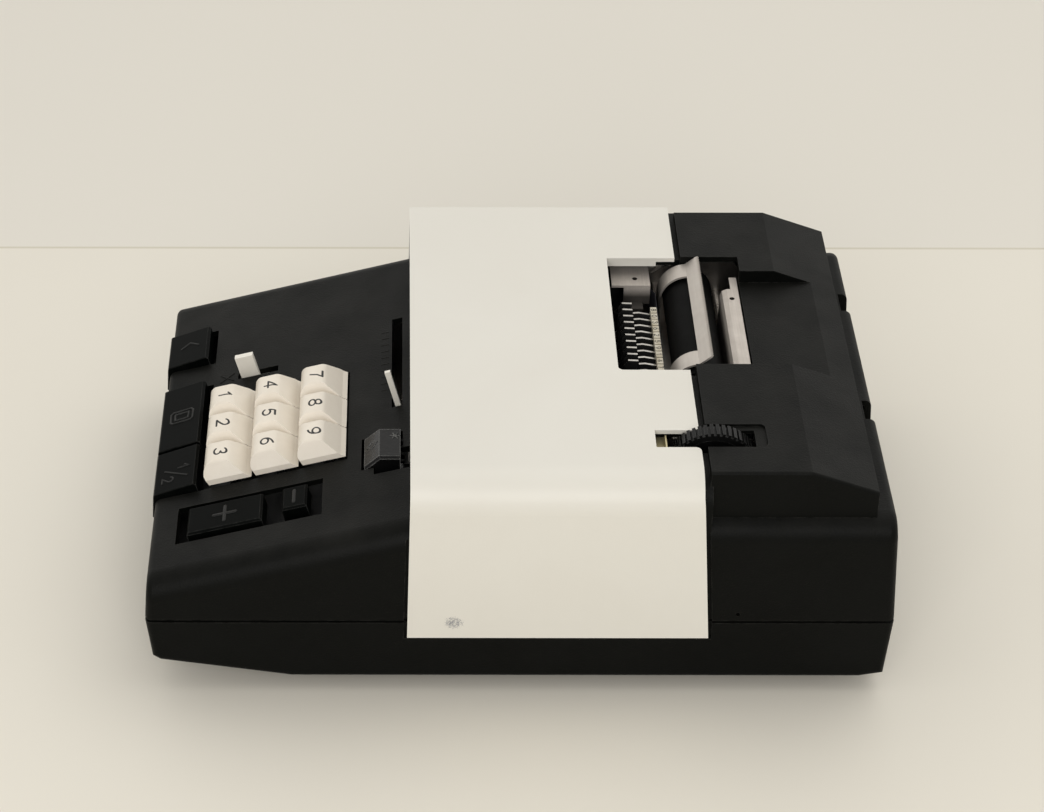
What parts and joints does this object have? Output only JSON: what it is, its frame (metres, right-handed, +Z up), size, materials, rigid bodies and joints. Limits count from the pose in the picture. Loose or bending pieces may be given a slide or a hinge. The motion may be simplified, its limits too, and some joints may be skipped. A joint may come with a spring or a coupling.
{
  "type": "adding machine",
  "caption": "Desk-top electric printing adding machine with a ten-key board, a pale cover band over its middle, a paper window with platen and tear-off blade, and a side thumbwheel.",
  "frame": {"origin": "centre of the footprint, on the surface the rubber feet stand on", "axes": "+X to the machine's right, +Y from the keyboard towards the rear, +Z up"},
  "size_m": [0.1942, 0.2852, 0.1043],
  "materials": {
    "case_black": "fine-textured black moulding",
    "cover_ivory": "smooth pale paint over plastic",
    "key_ivory": "smooth satin plastic",
    "key_black": "satin black plastic",
    "key_gloss": "polished black plastic",
    "tab_ivory": "smooth satin plastic",
    "sheet_steel": "zinc-plated sheet steel",
    "bright_steel": "ground and polished steel",
    "rubber_black": "dull black rubber",
    "slug_cream": "moulded cream type slugs",
    "brass_yellow": "dull brass",
    "motor_grey": "grey enamel",
    "ribbon_black": "inked woven ribbon",
    "nylon_white": "natural nylon",
    "blackened_steel": "blackened sheet steel",
    "spool_black": "black moulded spools",
    "inlet_black": "moulded black plastic"
  },
  "bodies": {
    "case": {"base_shell": "case_black", "upper_casing": "case_black", "centre_cover": "cover_ivory", "rubber_feet": "rubber_black", "screws": "bright_steel", "key_guide_plate": "blackened_steel", "key_comb_plate": "blackened_steel", "left_frame": "sheet_steel", "right_frame": "sheet_steel", "tie_rods": "bright_steel", "carriage_rails": "bright_steel", "sector_shaft": "bright_steel", "cross_bar": "bright_steel", "platen_bushes": "brass_yellow", "tear_off_frame": "sheet_steel", "paper_guide": "sheet_steel", "pressure_shaft": "bright_steel", "ribbon_bracket": "sheet_steel", "spool_plates": "sheet_steel", "ribbon": "ribbon_black", "motor": "motor_grey", "motor_cradle": "sheet_steel", "mains_inlet": "inlet_black", "wheel_bracket": "brass_yellow"},
    "key_1": {"key_1": "key_ivory"},
    "key_2": {"key_2": "key_ivory"},
    "key_3": {"key_3": "key_ivory"},
    "key_4": {"key_4": "key_ivory"},
    "key_5": {"key_5": "key_ivory"},
    "key_6": {"key_6": "key_ivory"},
    "key_7": {"key_7": "key_ivory"},
    "key_8": {"key_8": "key_ivory"},
    "key_9": {"key_9": "key_ivory"},
    "key_back": {"key_back": "key_black"},
    "key_zero": {"key_zero": "key_black"},
    "key_half": {"key_half": "key_black"},
    "key_plus": {"key_plus": "key_black"},
    "key_minus": {"key_minus": "key_black"},
    "key_total": {"key_total": "key_gloss"},
    "repeat_tab": {"repeat_tab": "tab_ivory"},
    "feed_pawl": {"feed_pawl": "bright_steel"},
    "pressure_rollers": {"pressure_rollers": "rubber_black"},
    "motor_pinion": {"motor_pinion": "bright_steel"},
    "carriage": {"pin_carriage": "blackened_steel", "stop_pins": "blackened_steel", "column_pointer": "tab_ivory"},
    "platen": {"platen_roller": "rubber_black", "platen_shaft": "bright_steel", "thumbwheel": "key_black", "ratchet_wheel": "bright_steel"},
    "type_set": {"type_sectors": "bright_steel", "type_slugs": "slug_cream", "index_levers": "sheet_steel"},
    "accumulator": {"accumulator_gears": "brass_yellow", "accumulator_shaft": "bright_steel"},
    "drive": {"main_shaft": "bright_steel", "drive_gear": "nylon_white", "drive_cams": "bright_steel"},
    "spool_left": {"ribbon_spool_left": "spool_black"},
    "spool_right": {"ribbon_spool_right": "spool_black"}
  },
  "joints": [
    {"name": "key_1_press", "type": "slide", "parent": "case", "child": "key_1", "axis": [0, 0.2588, -0.9659], "range_m": [0, 0.004], "stiffness_N_per_m": 150, "springref_m": -0.003},
    {"name": "key_2_press", "type": "slide", "parent": "case", "child": "key_2", "axis": [0, 0.2588, -0.9659], "range_m": [0, 0.004], "stiffness_N_per_m": 150, "springref_m": -0.003},
    {"name": "key_3_press", "type": "slide", "parent": "case", "child": "key_3", "axis": [0, 0.2588, -0.9659], "range_m": [0, 0.004], "stiffness_N_per_m": 150, "springref_m": -0.003},
    {"name": "key_4_press", "type": "slide", "parent": "case", "child": "key_4", "axis": [0, 0.2588, -0.9659], "range_m": [0, 0.004], "stiffness_N_per_m": 150, "springref_m": -0.003},
    {"name": "key_5_press", "type": "slide", "parent": "case", "child": "key_5", "axis": [0, 0.2588, -0.9659], "range_m": [0, 0.004], "stiffness_N_per_m": 150, "springref_m": -0.003},
    {"name": "key_6_press", "type": "slide", "parent": "case", "child": "key_6", "axis": [0, 0.2588, -0.9659], "range_m": [0, 0.004], "stiffness_N_per_m": 150, "springref_m": -0.003},
    {"name": "key_7_press", "type": "slide", "parent": "case", "child": "key_7", "axis": [0, 0.2588, -0.9659], "range_m": [0, 0.004], "stiffness_N_per_m": 150, "springref_m": -0.003},
    {"name": "key_8_press", "type": "slide", "parent": "case", "child": "key_8", "axis": [0, 0.2588, -0.9659], "range_m": [0, 0.004], "stiffness_N_per_m": 150, "springref_m": -0.003},
    {"name": "key_9_press", "type": "slide", "parent": "case", "child": "key_9", "axis": [0, 0.2588, -0.9659], "range_m": [0, 0.004], "stiffness_N_per_m": 150, "springref_m": -0.003},
    {"name": "key_back_press", "type": "slide", "parent": "case", "child": "key_back", "axis": [0, 0.2588, -0.9659], "range_m": [0, 0.0025], "stiffness_N_per_m": 200, "springref_m": -0.003},
    {"name": "key_zero_press", "type": "slide", "parent": "case", "child": "key_zero", "axis": [0, 0.2588, -0.9659], "range_m": [0, 0.0025], "stiffness_N_per_m": 200, "springref_m": -0.003},
    {"name": "key_half_press", "type": "slide", "parent": "case", "child": "key_half", "axis": [0, 0.2588, -0.9659], "range_m": [0, 0.0025], "stiffness_N_per_m": 200, "springref_m": -0.003},
    {"name": "key_plus_press", "type": "slide", "parent": "case", "child": "key_plus", "axis": [0, 0.2588, -0.9659], "range_m": [0, 0.003], "stiffness_N_per_m": 200, "springref_m": -0.003},
    {"name": "key_minus_press", "type": "slide", "parent": "case", "child": "key_minus", "axis": [0, 0.2588, -0.9659], "range_m": [0, 0.003], "stiffness_N_per_m": 200, "springref_m": -0.003},
    {"name": "key_total_press", "type": "hinge", "parent": "case", "child": "key_total", "pos_m": [0.048, -0.028, 0.071], "axis": [1, 0, 0], "range_deg": [0, 6], "stiffness_Nm_per_rad": 0.2, "springref_deg": -6.88},
    {"name": "repeat_tab_slide", "type": "slide", "parent": "case", "child": "repeat_tab", "axis": [0, 0.9659, 0.2588], "range_m": [0, 0.0065]},
    {"name": "carriage_step", "type": "slide", "parent": "case", "child": "carriage", "axis": [-1, 0, 0], "range_m": [0, 0.054]},
    {"name": "platen_turn", "type": "hinge", "parent": "case", "child": "platen", "pos_m": [0, 0.0723, 0.0868], "axis": [1, 0, 0], "continuous": true},
    {"name": "pressure_rollers_turn", "type": "hinge", "parent": "case", "child": "pressure_rollers", "pos_m": [0, 0.07631, 0.07183], "axis": [1, 0, 0], "continuous": true},
    {"name": "feed_pawl_swing", "type": "hinge", "parent": "case", "child": "feed_pawl", "pos_m": [-0.0788, 0.05305, 0.07699], "axis": [1, 0, 0], "range_deg": [-12, 0], "stiffness_Nm_per_rad": 0.002},
    {"name": "type_set_lift", "type": "hinge", "parent": "case", "child": "type_set", "pos_m": [0, 0.024, 0.058], "axis": [1, 0, 0], "range_deg": [0, 8]},
    {"name": "accumulator_turn", "type": "hinge", "parent": "case", "child": "accumulator", "pos_m": [0, 0.005, 0.066], "axis": [1, 0, 0], "continuous": true},
    {"name": "main_shaft_turn", "type": "hinge", "parent": "case", "child": "drive", "pos_m": [0, 0.072, 0.038], "axis": [1, 0, 0], "continuous": true},
    {"name": "motor_turn", "type": "hinge", "parent": "case", "child": "motor_pinion", "pos_m": [0.06, 0.10267, 0.0425], "axis": [1, 0, 0], "continuous": true},
    {"name": "left_spool_turn", "type": "hinge", "parent": "case", "child": "spool_left", "pos_m": [-0.066, 0.036, 0.083], "axis": [0, 0, 1], "continuous": true},
    {"name": "right_spool_turn", "type": "hinge", "parent": "case", "child": "spool_right", "pos_m": [0.04, 0.036, 0.083], "axis": [0, 0, 1], "continuous": true}
  ],
  "couplings": [
    {"joint": "pressure_rollers_turn", "follows": "platen_turn", "ratio": -2},
    {"joint": "motor_turn", "follows": "main_shaft_turn", "ratio": -3.4286},
    {"joint": "right_spool_turn", "follows": "left_spool_turn", "ratio": 1}
  ]
}
